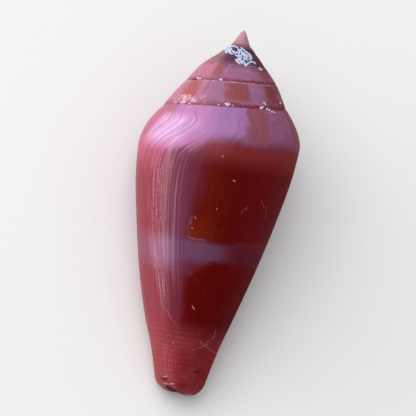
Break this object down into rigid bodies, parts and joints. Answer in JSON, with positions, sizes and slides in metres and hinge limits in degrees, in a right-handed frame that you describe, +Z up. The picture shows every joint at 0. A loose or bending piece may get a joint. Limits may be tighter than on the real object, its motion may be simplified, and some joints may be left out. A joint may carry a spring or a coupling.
{
  "type": "cone shell",
  "caption": "Lying cone-shaped sea snail shell with a stepped, pointed spire and a long narrow aperture.",
  "frame": {"origin": "centre of the box round the lying shell, at the height of the surface it rests on", "axes": "+Z up, +Y along the shell towards its raised apex, +X to the right seen from above with the apex away"},
  "size_m": [0.015, 0.0342, 0.0139],
  "materials": {
    "shell": "gloss",
    "crust": "matte"
  },
  "bodies": {
    "root": {"shell": "shell"}
  },
  "joints": []
}
